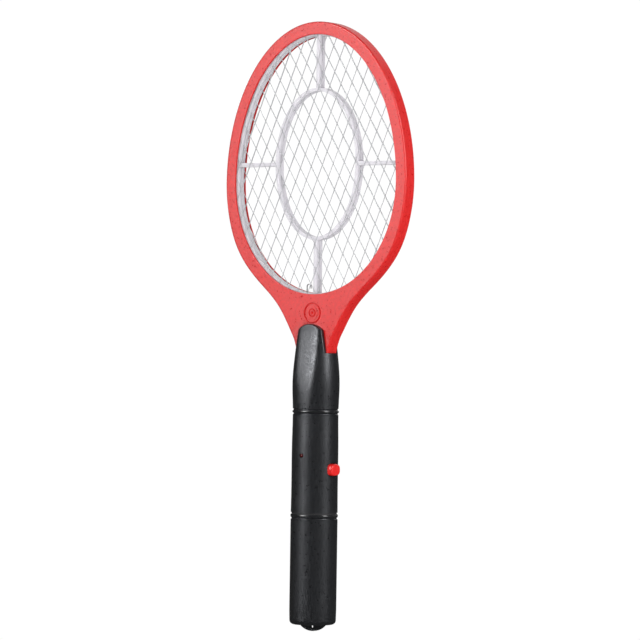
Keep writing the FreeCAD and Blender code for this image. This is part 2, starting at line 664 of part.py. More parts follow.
def axial_part(x, z, body_radius, body_length, y):
    """A cylinder on a wire that bends down into the board at both ends."""
    half = body_length / 2 + 1.8
    body = rod(body_radius, (x, y, z - body_length / 2), (x, y, z + body_length / 2))
    wire = rod(0.36, (x, y, z - half - 0.4), (x, y, z + half + 0.4))
    return solid_of(body.fuse([wire] + legs_through([(x, z - half), (x, z + half)], y)))


def resistors():
    return Part.makeCompound([axial_part(x, RESISTOR_Z, 1.15, 6.2, 0.2) for x in RESISTOR_X])


def diodes():
    return Part.makeCompound([axial_part(x, DIODE_Z, 1.35, 5.2, 0.0) for x in DIODE_X])


def ceramic_capacitors():
    discs = []
    for z in CERAMIC_Z:
        disc = rod(CERAMIC_RADIUS, (CERAMIC_X - 1.3, CERAMIC_Y, z), (CERAMIC_X + 1.3, CERAMIC_Y, z))
        disc = disc.makeFillet(0.9, [edge for edge in disc.Edges if len(edge.Vertexes) == 1])
        legs = legs_through([(CERAMIC_X, z - 2.5), (CERAMIC_X, z + 2.5)], CERAMIC_Y)
        discs.append(solid_of(disc.fuse(legs)))
    return Part.makeCompound(discs)


def transformer_at(shape):
    shape.translate(Vector(0, TRANSFORMER_Y, TRANSFORMER_Z))
    return shape


def transformer_core():
    """Two E-shaped ferrite halves that meet at the middle."""
    halves = []
    for side in (-1, 1):
        z0, z1 = sorted((side * SEAM / 2, side * CORE_HALF_HEIGHT))
        half = box(-CORE_HALF_WIDTH, CORE_HALF_WIDTH, -CORE_HALF_DEPTH, CORE_HALF_DEPTH, z0, z1)
        w0, w1 = sorted((0, side * CORE_WINDOW_HALF_HEIGHT))
        near, far = CORE_WINDOW
        for x0, x1 in ((-far, -near), (near, far)):
            half = half.cut(box(x0, x1, -FAR, FAR, w0, w1))
        halves.append(half)
    return transformer_at(Part.makeCompound(halves))


def transformer_bobbin():
    """A square tube round the core's middle leg, between two end plates that reach the board."""
    end, cheek = BOBBIN_HALF_HEIGHT, BOBBIN_HALF_HEIGHT - BOBBIN_CHEEK
    bobbin = box(-3.1, 3.1, -3.1, 3.1, -end, end)
    for z0, z1 in ((-end, -cheek), (cheek, end)):
        bobbin = bobbin.fuse(box(-5.6, 5.6, -5.0, 5.0, z0, z1))
        bobbin = bobbin.fuse(box(-5.6, 5.6, 4.5, BOARD_FRONT_Y - TRANSFORMER_Y - 0.02, z0, z1))
    bobbin = bobbin.cut(box(-2.5, 2.5, -2.5, 2.5, -FAR, FAR))
    return transformer_at(solid_of(bobbin))


def transformer_winding():
    reach = BOBBIN_HALF_HEIGHT - BOBBIN_CHEEK - SEAM
    winding = box(-5.3, 5.3, -4.7, 4.7, -reach, reach)
    upright = [edge for edge in winding.Edges if edge.BoundBox.ZLength > 6]
    winding = winding.makeFillet(1.6, upright)
    return transformer_at(winding.cut(box(-3.15, 3.15, -3.15, 3.15, -FAR, FAR)))


def circuit_board():
    """Drilled for every leg; call after the parts that stand on it."""
    board = box(-BOARD_HALF_WIDTH, BOARD_HALF_WIDTH, BOARD_FRONT_Y, BOARD_BACK_Y,
                BOARD_BOTTOM_Z, BOARD_TOP_Z)
    corners = [edge for edge in board.Edges if edge.BoundBox.YLength > 1]
    board = board.makeFillet(1.5, corners)
    board = board.cut(box(BUTTON_NOTCH_X, FAR, 0, 5, BUTTON_Z - BUTTON_NOTCH, BUTTON_Z + BUTTON_NOTCH))
    holes = LEG_HOLES + [(-LAMP_LEG_X, LAMP_Z), (LAMP_LEG_X, LAMP_Z)]
    holes += [(SWITCH_LEG_X, BUTTON_Z + dz) for dz in (-SWITCH_LEG_Z, SWITCH_LEG_Z)]
    drills = [rod(0.45, (x, 0, z), (x, 5, z)) for x, z in holes]
    return board.cut(drills)


# ================================================================ battery compartment
def cell(x, upwards):
    """An AA cell with its positive nub up or down and a shallow rim."""
    body_length = CELL_LENGTH - CELL_NUB_HEIGHT
    body = rod(CELL_RADIUS, (0, 0, 0), (0, 0, body_length))
    body = body.makeFillet(0.5, [edge for edge in body.Edges if len(edge.Vertexes) == 1])
    nub = rod(CELL_NUB_RADIUS, (0, 0, body_length - 0.5), (0, 0, CELL_LENGTH))
    made = solid_of(body.fuse(nub))
    if not upwards:
        made.rotate(Vector(0, 0, CELL_LENGTH / 2), Vector(1, 0, 0), 180)
    made.translate(Vector(x, 0, CELL_BOTTOM_Z))
    return made


def battery_carrier():
    """A cradle behind the two cells, with end walls and a collar in the upper handle."""
    body = rod(CARRIER_RADIUS, (0, 0, CARRIER_BOTTOM_Z), (0, 0, CARRIER_TOP_Z))
    flange = rod(FLANGE_RADIUS, (0, 0, SLEEVE_TOP_Z + 0.15), (0, 0, HANDLE_BOTTOM_Z - 0.05))
    body = body.fuse(flange)
    room_low, room_high = CARRIER_BOTTOM_Z + 2.0, TOP_WALL_Z
    body = body.cut(box(-FAR, FAR, -FAR, 1.5, room_low, room_high))
    for x in (-CELL_X, CELL_X):
        body = body.cut(rod(CELL_RADIUS + 0.15, (x, 0, room_low), (x, 0, room_high)))
    body = body.cut(box(-4, 4, 1, 4.6, room_low, room_low + 0.5))
    wire_way = box(-4, 4, -13, -8, TOP_WALL_Z - 1, CARRIER_TOP_Z + 1)
    hollow = rod(CARRIER_RADIUS - 2.4, (0, 0, TOP_WALL_Z + 2.0), (0, 0, CARRIER_TOP_Z + 1))
    return solid_of(body.cut([wire_way, hollow]))


def conical_spring(x, z_wide, z_narrow):
    """Turns of wire, wide on the plate and narrow on the cell."""
    height = abs(z_narrow - z_wide) - 2 * SPRING_WIRE_RADIUS
    taper = math.degrees(math.atan2(SPRING_TAPER, height))
    helix = Part.makeHelix(height / SPRING_TURNS, height, SPRING_WIDE_RADIUS, -taper)
    start = Vector(SPRING_WIDE_RADIUS, 0, 0)
    section = Part.Wire(Part.makeCircle(SPRING_WIRE_RADIUS, start, Vector(0, 1, 0)))
    spring = Part.Wire(helix).makePipeShell([section], True, True)
    if z_narrow < z_wide:
        spring.rotate(Vector(0, 0, 0), Vector(1, 0, 0), 180)
        spring.translate(Vector(x, 0, z_wide - SPRING_WIRE_RADIUS))
    else:
        spring.translate(Vector(x, 0, z_wide + SPRING_WIRE_RADIUS))
    return spring


def contact_plate(x0, x1, half_depth, z0, z1):
    """A strip of sheet with rounded corners."""
    plate = box(x0, x1, -half_depth, half_depth, z0, z1)
    corners = [edge for edge in plate.Edges if edge.BoundBox.ZLength > (z1 - z0) / 2]
    return plate.makeFillet(CONTACT_CORNER_RADIUS, corners)


def contact_plates():
    """Two spring-steel tabs under the carrier's top wall."""
    top = TOP_WALL_Z
    plates = [contact_plate(x - CONTACT_HALF_WIDTH, x + CONTACT_HALF_WIDTH, 5.5,
                            top - CONTACT_THICKNESS, top - 0.02) for x in (-CELL_X, CELL_X)]
    bump = rod(2.4, (CELL_X, 0, top - 2.35), (CELL_X, 0, top - 0.3))
    plates[1] = solid_of(plates[1].fuse(bump))
    return Part.makeCompound(plates)


def contact_springs():
    upper = conical_spring(-CELL_X, TOP_WALL_Z - 0.4, CELL_BOTTOM_Z + CELL_LENGTH + 0.05)
    lower = conical_spring(CELL_X, CARRIER_BOTTOM_Z + 2.4, CELL_BOTTOM_Z - 0.02)
    return Part.makeCompound([upper, lower])


def bridge_plate():
    """Joins the two cells at the bottom, with a bump for the positive nub."""
    low = CARRIER_BOTTOM_Z + 2.02
    reach = CELL_X + CONTACT_HALF_WIDTH
    plate = contact_plate(-reach, reach, 4.5, low, low + CONTACT_THICKNESS)
    bump = rod(2.2, (-CELL_X, 0, low + 0.3), (-CELL_X, 0, CELL_BOTTOM_Z - 0.03))
    return solid_of(plate.fuse(bump))


def battery_leads():
    """Two insulated leads from the contacts to the board's lower end."""
    leads = []
    for x in (-8.5, 8.5):
        points = [(x * 0.3, -10, TOP_WALL_Z + 0.7), (x * 0.3, -10, 86), (x, -6, 96), (x, 0, 98)]
        leads.append(bent_rod(0.7, points, 3))
    return Part.makeCompound(leads)


def battery_sleeve():
    end_radius = SLEEVE_RADIUS - SLEEVE_TAPER
    edges = [line((0, 0, SLEEVE_END_Z), (end_radius, 0, SLEEVE_END_Z)),
             line((end_radius, 0, SLEEVE_END_Z), (SLEEVE_RADIUS, 0, SLEEVE_TAPER_Z)),
             line((SLEEVE_RADIUS, 0, SLEEVE_TAPER_Z), (SLEEVE_RADIUS, 0, SLEEVE_TOP_Z)),
             line((SLEEVE_RADIUS, 0, SLEEVE_TOP_Z), (0, 0, SLEEVE_TOP_Z)),
             line((0, 0, SLEEVE_TOP_Z), (0, 0, SLEEVE_END_Z))]
    body = turned(edges)
    end_rim = [edge for edge in body.Edges
               if edge.BoundBox.ZMax < SLEEVE_END_Z + 0.01 and edge.BoundBox.XLength > 20]
    body = body.makeFillet(SLEEVE_END_RADIUS, end_rim)
    body = body.cut(ring_groove(LOWER_BEAD_Z - LOWER_GROOVE_OFFSET, SLEEVE_RADIUS))
    bore = rod(SLEEVE_BORE, (0, 0, SLEEVE_END_Z + SLEEVE_FLOOR), (0, 0, SLEEVE_TOP_Z + 1))
    tab_centre_z = TAB_LOWEST_Z + TAB_RADIUS
    tab = rod(TAB_RADIUS, (0, -TAB_HALF_THICKNESS, tab_centre_z), (0, TAB_HALF_THICKNESS, tab_centre_z))
    tab = tab.common(box(-FAR, FAR, -5, 5, -10, SLEEVE_END_Z + 1.2))
    hole = rod(HANG_HOLE_RADIUS, (0, -5, 0), (0, 5, 0))
    return solid_of(body.cut(bore).fuse(tab).cut(hole))


# ================================================================ output
NODES = [head_front_frame, head_back_frame, front_spacer, hv_hook, hv_lead, ground_lead,
         throat_screws, handle_screws, handle_front_shell, handle_back_shell, push_button,
         switch_body, switch_plunger, indicator_led, film_capacitor, transistor, resistors,
         diodes, ceramic_capacitors, transformer_core, transformer_bobbin, transformer_winding,
         circuit_board, battery_carrier, contact_plates, contact_springs, bridge_plate,
         battery_leads, battery_sleeve]


def build_all():
    shapes = {make.__name__: make() for make in NODES}
    shapes["rear_spacer"] = spacer(SPACER_INNER_Y, SPACER_OUTER_Y)
    shapes["front_net"] = net(-NET_Y)
    shapes["centre_grid"] = net(0)
    shapes["back_net"] = net(NET_Y)
    shapes["battery_right"] = cell(CELL_X, True)
    shapes["battery_left"] = cell(-CELL_X, False)
    return shapes


os.makedirs("parts", exist_ok=True)
for name, shape in build_all().items():
    if not shape.isValid() or shape.Volume <= 0:
        print("CHECK", name, "valid", shape.isValid(), "volume", round(shape.Volume, 2))
    shape.exportStep("parts/" + name + ".step")
    print(name, "solids", len(shape.Solids), "volume", round(shape.Volume, 1))
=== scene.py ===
import json
import math

import bmesh
import bpy
from mathutils import Matrix, Vector


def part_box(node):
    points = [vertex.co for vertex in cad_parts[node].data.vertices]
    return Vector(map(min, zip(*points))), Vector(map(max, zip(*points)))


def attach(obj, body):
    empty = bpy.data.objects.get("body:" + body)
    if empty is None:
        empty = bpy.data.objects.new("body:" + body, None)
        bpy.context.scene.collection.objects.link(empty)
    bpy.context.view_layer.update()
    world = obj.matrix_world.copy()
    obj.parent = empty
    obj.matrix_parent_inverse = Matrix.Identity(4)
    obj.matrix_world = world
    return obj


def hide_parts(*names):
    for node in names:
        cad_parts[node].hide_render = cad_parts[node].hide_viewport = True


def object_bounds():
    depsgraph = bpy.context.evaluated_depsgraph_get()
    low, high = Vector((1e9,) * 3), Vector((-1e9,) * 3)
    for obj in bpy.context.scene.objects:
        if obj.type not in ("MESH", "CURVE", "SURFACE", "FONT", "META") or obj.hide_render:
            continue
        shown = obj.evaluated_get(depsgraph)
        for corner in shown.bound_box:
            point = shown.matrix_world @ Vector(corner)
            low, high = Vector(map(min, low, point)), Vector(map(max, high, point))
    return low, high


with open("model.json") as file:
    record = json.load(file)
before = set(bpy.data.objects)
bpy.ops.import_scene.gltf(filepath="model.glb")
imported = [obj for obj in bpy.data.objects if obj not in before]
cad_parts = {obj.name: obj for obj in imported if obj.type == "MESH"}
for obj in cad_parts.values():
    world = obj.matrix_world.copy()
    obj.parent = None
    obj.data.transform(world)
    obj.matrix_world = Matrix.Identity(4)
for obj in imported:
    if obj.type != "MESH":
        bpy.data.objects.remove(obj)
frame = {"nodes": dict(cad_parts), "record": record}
CAD_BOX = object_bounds()

NODES = frame["nodes"]
MM = 0.001


# ------------------------------------------------------------------ materials
class Finish:
    """One node material around a Principled shader, textured in object space in millimetres."""

    def __init__(self, name, colour, roughness, **sockets):
        self.material = bpy.data.materials.new(name)
        self.material.use_nodes = True
        self.tree = self.material.node_tree
        self.shader = self.tree.nodes["Principled BSDF"]
        self.colour = colour
        self.set("Base Color", (*colour, 1))
        self.set("Roughness", roughness)
        for socket, value in sockets.items():
            self.set(socket.replace("_", " "), value)
        place = self.add("ShaderNodeTexCoord")
        self.millimetres = self.add("ShaderNodeVectorMath", operation="SCALE")
        self.millimetres.inputs["Scale"].default_value = 1 / MM
        self.link(place.outputs["Object"], self.millimetres.inputs[0])
        self.height = None

    def add(self, kind, **settings):
        node = self.tree.nodes.new(kind)
        for key, value in settings.items():
            setattr(node, key, value)
        return node

    def link(self, output, target):
        self.tree.links.new(output, target)

    def set(self, socket, value):
        self.shader.inputs[socket].default_value = value

    def noise(self, size, detail=2.0, roughness=0.5, stretch=(1, 1, 1)):
        """Noise with features of about the given size in millimetres."""
        mapping = self.add("ShaderNodeMapping")
        mapping.inputs["Scale"].default_value = [s / size for s in stretch]
        self.link(self.millimetres.outputs[0], mapping.inputs["Vector"])
        noise = self.add("ShaderNodeTexNoise")
        noise.inputs["Scale"].default_value = 1.0
        noise.inputs["Detail"].default_value = detail
        noise.inputs["Roughness"].default_value = roughness
        self.link(mapping.outputs[0], noise.inputs["Vector"])
        return noise.outputs["Fac"]

    def spread(self, source, low, high, from_low=0.3, from_high=0.7):
        """The source's range carried over to low..high."""
        spread = self.add("ShaderNodeMapRange")
        for socket, value in (("From Min", from_low), ("From Max", from_high),
                              ("To Min", low), ("To Max", high)):
            spread.inputs[socket].default_value = value
        self.link(source, spread.inputs["Value"])
        return spread.outputs["Result"]

    def tint(self, source, dark, light, from_low=0.3, from_high=0.7):
        """Colour that runs from dark times to light times the base colour."""
        factor = self.spread(source, 0, 1, from_low, from_high)
        mix = self.add("ShaderNodeMix", data_type="RGBA")
        mix.inputs[6].default_value = (*[min(1, c * dark) for c in self.colour], 1)
        mix.inputs[7].default_value = (*[min(1, c * light) for c in self.colour], 1)
        self.link(factor, mix.inputs[0])
        self.link(mix.outputs[2], self.shader.inputs["Base Color"])
        return self

    def sheen_change(self, source, low, high):
        self.link(self.spread(source, low, high), self.shader.inputs["Roughness"])
        return self

    def bump(self, source, depth):
        """Relief of the given depth in millimetres, added to any already there."""
        bump = self.add("ShaderNodeBump")
        bump.inputs["Distance"].default_value = depth * MM
        self.link(source, bump.inputs["Height"])
        if self.height is not None:
            self.link(self.height, bump.inputs["Normal"])
        self.height = bump.outputs["Normal"]
        self.link(self.height, self.shader.inputs["Normal"])
        return self


FLOW_SIZE = 9                   # mm, the slow waviness of a moulded wall
FLOW_RELIEF = 0.03              # mm
PLAIN_MOTTLE = (0.93, 1.06)     # darkest and lightest, times the base colour
PLAIN_SHEEN = 0.05              # how far the roughness runs to each side
SPECKLE_SIZE = 1.7              # mm
SPECKLE_RELIEF = 0.15           # mm of relief for each unit of speckle
SPECKLE_SHEEN = 0.35            # more roughness range for each unit of speckle


def moulded(name, colour, roughness, grain, depth, speckle=0.0, **sockets):
    """Injection-moulded plastic: spark-eroded grain, a faint flow mottle and uneven gloss."""
    finish = Finish(name, colour, roughness, **sockets)
    dark, light = PLAIN_MOTTLE
    finish.tint(finish.noise(SPECKLE_SIZE, 5, 0.75), dark - speckle, light + speckle)
    uneven = PLAIN_SHEEN + speckle * SPECKLE_SHEEN
    finish.sheen_change(finish.noise(SPECKLE_SIZE, 3), roughness - uneven, roughness + uneven)
    finish.bump(finish.noise(FLOW_SIZE, 2), FLOW_RELIEF)
    finish.bump(finish.noise(SPECKLE_SIZE, 2, 0.6), speckle * SPECKLE_RELIEF)
    finish.bump(finish.noise(grain, 3, 0.65), depth)
    return finish


def metal(name, colour, roughness, grain=0.6, stretch=(1, 1, 1), metallic=1.0):
    """Drawn, rolled or plated metal: faint tarnish and fine marks along the stretched axis."""
    finish = Finish(name, colour, roughness, Metallic=metallic)
    finish.tint(finish.noise(3.0, 3), 0.85, 1.05)
    finish.sheen_change(finish.noise(grain, 4, 0.6, stretch), roughness - 0.08, roughness + 0.12)
    finish.bump(finish.noise(grain * 0.6, 3, 0.6, stretch), 0.006)
    return finish


RED = (0.52, 0.003, 0.0025)
FINISHES = {
    "red_plastic": moulded("red_plastic", RED, 0.36, 0.42, 0.055, 0.15, Specular_IOR_Level=0.75),
    "relief_red": moulded("relief_red", RED, 0.5, 0.42, 0.03, Specular_IOR_Level=0.2),
    "button_red": moulded("button_red", (0.56, 0.008, 0.007), 0.34, 0.6, 0.015),
    "black_plastic": moulded("black_plastic", (0.006, 0.0065, 0.0075), 0.37, 0.40, 0.05, 0.17,
                             Specular_IOR_Level=0.72, Specular_Tint=(0.93, 0.95, 1.0, 1)),
    "polished_black": moulded("polished_black", (0.008, 0.0085, 0.0095), 0.2, 0.5, 0.01,
                              Specular_IOR_Level=0.75),
    "inner_black": moulded("inner_black", (0.02, 0.02, 0.022), 0.5, 0.5, 0.03),
    "white_plastic": moulded("white_plastic", (0.61, 0.592, 0.628), 0.45, 0.8, 0.02,
                             Subsurface_Weight=0.8, Subsurface_Scale=0.003,
                             Subsurface_Radius=(1, 1, 1)),
    "inner_white": moulded("inner_white", (0.78, 0.77, 0.72), 0.45, 0.7, 0.02),
    "net_wire": metal("net_wire", (0.47, 0.475, 0.49), 0.42, metallic=0.2),
    "tinned_wire": metal("tinned_wire", (0.42, 0.42, 0.43), 0.28),
    "screw_steel": metal("screw_steel", (0.55, 0.55, 0.57), 0.30, 0.3),
    "contact_metal": metal("contact_metal", (0.72, 0.71, 0.68), 0.22, 0.4, (1, 1, 6)),
    "copper_wire": metal("copper_wire", (0.72, 0.30, 0.12), 0.28, 0.25, (1, 1, 8)),
    "lead_red": moulded("lead_red", (0.55, 0.02, 0.02), 0.4, 0.8, 0.02),
    "lead_black": moulded("lead_black", (0.015, 0.015, 0.015), 0.4, 0.8, 0.02),
    "lamp_red": moulded("lamp_red", (0.09, 0.004, 0.004), 0.12, 1.2, 0.004,
                        Transmission_Weight=0.35, IOR=1.5),
    "capacitor_film": moulded("capacitor_film", (0.42, 0.10, 0.03), 0.3, 0.9, 0.03),
    "resistor_body": moulded("resistor_body", (0.50, 0.38, 0.22), 0.35, 0.5, 0.02),
    "capacitor_ceramic": moulded("capacitor_ceramic", (0.55, 0.25, 0.04), 0.4, 0.4, 0.03),
    "ferrite": moulded("ferrite", (0.035, 0.034, 0.036), 0.6, 0.25, 0.05),
    "board": moulded("board", (0.36, 0.25, 0.10), 0.45, 0.5, 0.02),
    "cell_jacket": moulded("cell_jacket", (0.03, 0.11, 0.09), 0.30, 2.0, 0.002),
    "cell_band": moulded("cell_band", (0.55, 0.55, 0.52), 0.32, 2.0, 0.01),
}


def dress(thing, slot_name):
    """Gives a piece or CAD node one finish everywhere."""
    thing.data.materials.clear()
    thing.data.materials.append(FINISHES[slot_name].material)
    return thing


for entry in frame["record"]["subparts"]:
    dress(NODES[entry["node"]], entry["material_slot"])


# ------------------------------------------------------------------ shapes
def piece(name, shape, slot_name, body, *stands_for, finish=None):
    """Turns a finished bmesh in the row frame into a piece; finish only where it isn't the slot's own."""
    mesh = bpy.data.meshes.new(name)
    bmesh.ops.recalc_face_normals(shape, faces=shape.faces)
    shape.to_mesh(mesh)
    shape.free()
    mesh.polygons.foreach_set("use_smooth", [True] * len(mesh.polygons))
    thing = bpy.data.objects.new(name, mesh)
    bpy.context.scene.collection.objects.link(thing)
    dress(thing, finish or slot_name)
    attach(thing, body)
    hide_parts(*stands_for)
    return thing


def islands(node_name):
    """The separate solids of a CAD node, each as a list of points."""
    shape = bmesh.new()
    shape.from_mesh(NODES[node_name].data)
    bmesh.ops.remove_doubles(shape, verts=shape.verts, dist=0.00001)
    found, seen = [], set()
    for start in shape.verts:
        if start in seen:
            continue
        group, queue = [], [start]
        seen.add(start)
        while queue:
            vertex = queue.pop()
            group.append(vertex.co.copy())
            for edge in vertex.link_edges:
                other = edge.other_vert(vertex)
                if other not in seen:
                    seen.add(other)
                    queue.append(other)
        found.append(group)
    shape.free()
    return found


def add_stack(shape, rings):
    """Skins a stack of rings that have the same number of points, and closes both ends."""
    skins = [[shape.verts.new(point) for point in ring] for ring in rings]
    for ring, following in zip(skins, skins[1:]):
        for side in range(len(ring)):
            other = (side + 1) % len(ring)
            shape.faces.new((ring[side], ring[other], following[other], following[side]))
    shape.faces.new(list(reversed(skins[0])))
    shape.faces.new(skins[-1])


def add_tube(shape, points, radii, sides=8):
    """A closed tube through the points; radii has one value for each."""
    rings = []
    for number, point in enumerate(points):
        before = points[max(number - 1, 0)]
        after = points[min(number + 1, len(points) - 1)]
        along = (after - before).normalized()
        across = Vector((0, 1, 0)) - along * along.y
        across = across.normalized() if across.length > 0.01 else Vector((1, 0, 0))
        third = along.cross(across)
        ring = []
        for side in range(sides):
            turn = 2 * math.pi * side / sides
            ring.append(point + (across * math.cos(turn) + third * math.sin(turn)) * radii[number])
        rings.append(ring)
    add_stack(shape, rings)


# ------------------------------------------------------------------ nets
WIRE_RADIUS = 0.235 * MM
WELD_RADIUS = 0.36 * MM
WIRE_STEP = 1.3 * MM
END_FACE_REACH = 0.9 * MM       # points closer than this to a wire's tip lie on its end face
SLOW_WANDER = 0.10 * MM
QUICK_WANDER = 0.05 * MM
WIRE_UNEVENNESS = 0.05
WELD_SHAPE = (1, 0.85, 1.25, 1)


def wire_ends(points):
    """Centres of a straight wire's two end faces."""
    low = min(points, key=lambda p: p.z)
    far = max(points, key=lambda p: (p - low).length)
    near_low = [p for p in points if (p - low).length < END_FACE_REACH]
    near_far = [p for p in points if (p - far).length < END_FACE_REACH]
    return (sum(near_low, Vector()) / len(near_low), sum(near_far, Vector()) / len(near_far))


def crossing(first, second):
    """Where two wires cross, seen from the front, or None."""
    (a, b), (c, d) = first, second
    run, other = b - a, d - c
    turn = run.x * other.z - run.z * other.x
    if abs(turn) < 1e-9:
        return None
    gap = c - a
    s = (gap.x * other.z - gap.z * other.x) / turn
    t = (gap.x * run.z - gap.z * run.x) / turn
    if not (0 < s < 1 and 0 < t < 1):
        return None
    return (a + run * s + c + other * t) / 2


def welded_net(name, node_name):
    """Two sets of drawn wires, each a little uneven, spot welded where they cross."""
    wires = [wire_ends(points) for points in islands(node_name)]
    shape = bmesh.new()
    for number, (low, high) in enumerate(wires):
        length = (high - low).length
        steps = max(4, int(length / WIRE_STEP))
        points, radii = [], []
        for step in range(steps + 1):
            share = step / steps
            ease = math.sin(math.pi * share) ** 0.5
            wander = SLOW_WANDER * ease * math.sin(9.1 * share + 2.3 * number)
            wander += QUICK_WANDER * ease * math.sin(31.0 * share + 1.1 * number)
            points.append(low.lerp(high, share) + Vector((wander, 0, 0)))
            radii.append(WIRE_RADIUS * (1 + WIRE_UNEVENNESS * math.sin(17.0 * share + number)))
        add_tube(shape, points, radii)
    leaning = [(low, high) for low, high in wires if (high - low).x < 0]
    crossing_set = [(low, high) for low, high in wires if (high - low).x >= 0]
    for first in leaning:
        for second in crossing_set:
            place = crossing(first, second)
            if place is not None:
                weld = Matrix.Translation(place) @ Matrix.Diagonal(WELD_SHAPE)
                bmesh.ops.create_icosphere(shape, subdivisions=1, radius=WELD_RADIUS, matrix=weld)
    piece(name, shape, "net_wire", "racket", node_name)


welded_net("net_front", "front_net")
welded_net("net_centre", "centre_grid")
welded_net("net_back", "back_net")


# ------------------------------------------------------------------ turned parts
def add_turned(shape, profile, origin, axis, side_axis, sides=48):
    """A profile of (radius, height) points turned round an axis; ends at radius 0 are closed."""
    axis, side_axis = Vector(axis), Vector(side_axis)
    third = axis.cross(side_axis)
    origin = Vector(origin)
    rings = []
    for radius, height in profile:
        centre = origin + axis * height
        if radius == 0:
            rings.append([shape.verts.new(centre)])
            continue
        ring = []
        for side in range(sides):
            turn = 2 * math.pi * side / sides
            out = side_axis * math.cos(turn) + third * math.sin(turn)
            ring.append(shape.verts.new(centre + out * radius))
        rings.append(ring)
    for ring, following in zip(rings, rings[1:]):
        for side in range(sides):
            other = (side + 1) % sides
            corners = [ring[side % len(ring)], ring[other % len(ring)],
                       following[other % len(following)], following[side % len(following)]]
            distinct = list(dict.fromkeys(corners))
            if len(distinct) > 2:
                shape.faces.new(distinct)


def rounded(profile, radius, steps=4):
    """A profile with its inner corners rounded to the radius where there is room."""
    smooth = [profile[0]]
    for before, corner, after in zip(profile, profile[1:], profile[2:]):
        b, c, a = Vector(before), Vector(corner), Vector(after)
        reach = min(radius, 0.45 * (b - c).length, 0.45 * (a - c).length)
        start = c + (b - c).normalized() * reach
        end = c + (a - c).normalized() * reach
        for step in range(steps + 1):
            t = step / steps
            point = start * (1 - t) ** 2 + c * 2 * t * (1 - t) + end * t ** 2
            smooth.append((point.x, point.y))
    smooth.append(profile[-1])
    return smooth


def in_metres(profile):
    return [(radius * MM, height * MM) for radius, height in profile]


# ------------------------------------------------------------------ push button
BUTTON_FLANGE_LIP = 0.8 * MM
BUTTON_FLANGE_THICKNESS = 0.9 * MM
BUTTON_SQUARENESS = 2.75        # exponent of the cap's rounded outline; 2 would be an ellipse
BUTTON_EDGE = 1.5 * MM          # how far in the crowned edge reaches
DISH = ((0.75, 0.02), (0.55, 0.10), (0.35, 0.20), (0.15, 0.24), (0.02, 0.25))  # (share, mm sunk)


def block_ring(half_width, half_height, x, centre_z, sides=64):
    """Points of a rounded rectangle across X, evenly spread by angle."""
    ring = []
    for side in range(sides):
        turn = 2 * math.pi * side / sides
        y, z = math.cos(turn), math.sin(turn)
        scale = (abs(y) ** BUTTON_SQUARENESS + abs(z) ** BUTTON_SQUARENESS) ** (-1 / BUTTON_SQUARENESS)
        ring.append(Vector((x, y * scale * half_width, centre_z + z * scale * half_height)))
    return ring


def build_button(edge_steps=8):
    """An oblong cap with a soft crowned edge, a shallow thumb dish and a retaining flange."""
    low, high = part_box("push_button")
    centre_z = (low.z + high.z) / 2
    width = (high.y - low.y) / 2
    flange_height = (high.z - low.z) / 2
    height = flange_height - BUTTON_FLANGE_LIP
    flange_top = low.x + BUTTON_FLANGE_THICKNESS
    rings = [block_ring(width, flange_height, low.x, centre_z),
             block_ring(width, flange_height, flange_top, centre_z),
             block_ring(width, height, flange_top, centre_z)]
    for step in range(edge_steps + 1):
        turn = math.pi / 2 * step / edge_steps
        inset = BUTTON_EDGE * (1 - math.cos(turn))
        x = high.x - BUTTON_EDGE * (1 - math.sin(turn))
        rings.append(block_ring(width - inset, height - inset, x, centre_z))
    for share, sink in DISH:
        rings.append(block_ring((width - BUTTON_EDGE) * share, (height - BUTTON_EDGE) * share,
                                high.x - sink * MM, centre_z))
    shape = bmesh.new()
    add_stack(shape, rings)
    piece("button_cap", shape, "button_red", "button", "push_button")


# ------------------------------------------------------------------ indicator lamp
LAMP_LENGTH = 5.7 * MM          # flange and dome together
LAMP_FLANGE_RADIUS = 1.9        # mm
LAMP_RADIUS = 1.5               # mm, of the barrel and of its dome
LAMP_BARREL = 4.2               # mm, where the dome starts
LAMP_LEG_X = 1.0 * MM
LAMP_LEG_RADIUS = 0.25 * MM


def build_lamp():
    """A dark red domed lens with a flange, and its two legs."""
    low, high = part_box("indicator_led")
    centre_z = (low.z + high.z) / 2
    back_y = low.y + LAMP_LENGTH
    lens = [(0, 0), (LAMP_FLANGE_RADIUS, 0), (LAMP_FLANGE_RADIUS, 1.0), (LAMP_RADIUS, 1.0),
            (LAMP_RADIUS, LAMP_BARREL)]
    lens += [(LAMP_RADIUS * math.cos(a), LAMP_BARREL + LAMP_RADIUS * math.sin(a))
             for a in (0.3, 0.6, 0.9, 1.2, 1.4)]
    lens.append((0, LAMP_BARREL + LAMP_RADIUS))
    shape = bmesh.new()
    add_turned(shape, in_metres(lens), (0, back_y, centre_z), (0, -1, 0), (1, 0, 0), 40)
    for x in (-LAMP_LEG_X, LAMP_LEG_X):
        points = [Vector((x, back_y + 0.2 * MM, centre_z)), Vector((x, high.y, centre_z))]
        add_tube(shape, points, [LAMP_LEG_RADIUS] * 2, 8)
    piece("lamp_lens", shape, "lamp_red", "racket", "indicator_led")


# ------------------------------------------------------------------ screws
SCREW_HEAD_HEIGHT = 1.65 * MM
SCREW_ROOT_RADIUS = 0.95 * MM
SCREW_CREST_RADIUS = 1.2 * MM
SCREW_PITCH = 1.0 * MM
SCREW_POINT = 2.2 * MM          # length of the tapered tip
THREAD_HALF_WIDTH = 0.22        # share of the pitch
HEAD_RIM = 0.62                 # share of the head's height where its dome starts
SLOT_DEPTH = 0.55               # share of the head's height
SLOT_HALF_WIDTH = 0.16          # share of the head's radius
SLOT_REACH = 0.62               # share of the head's radius


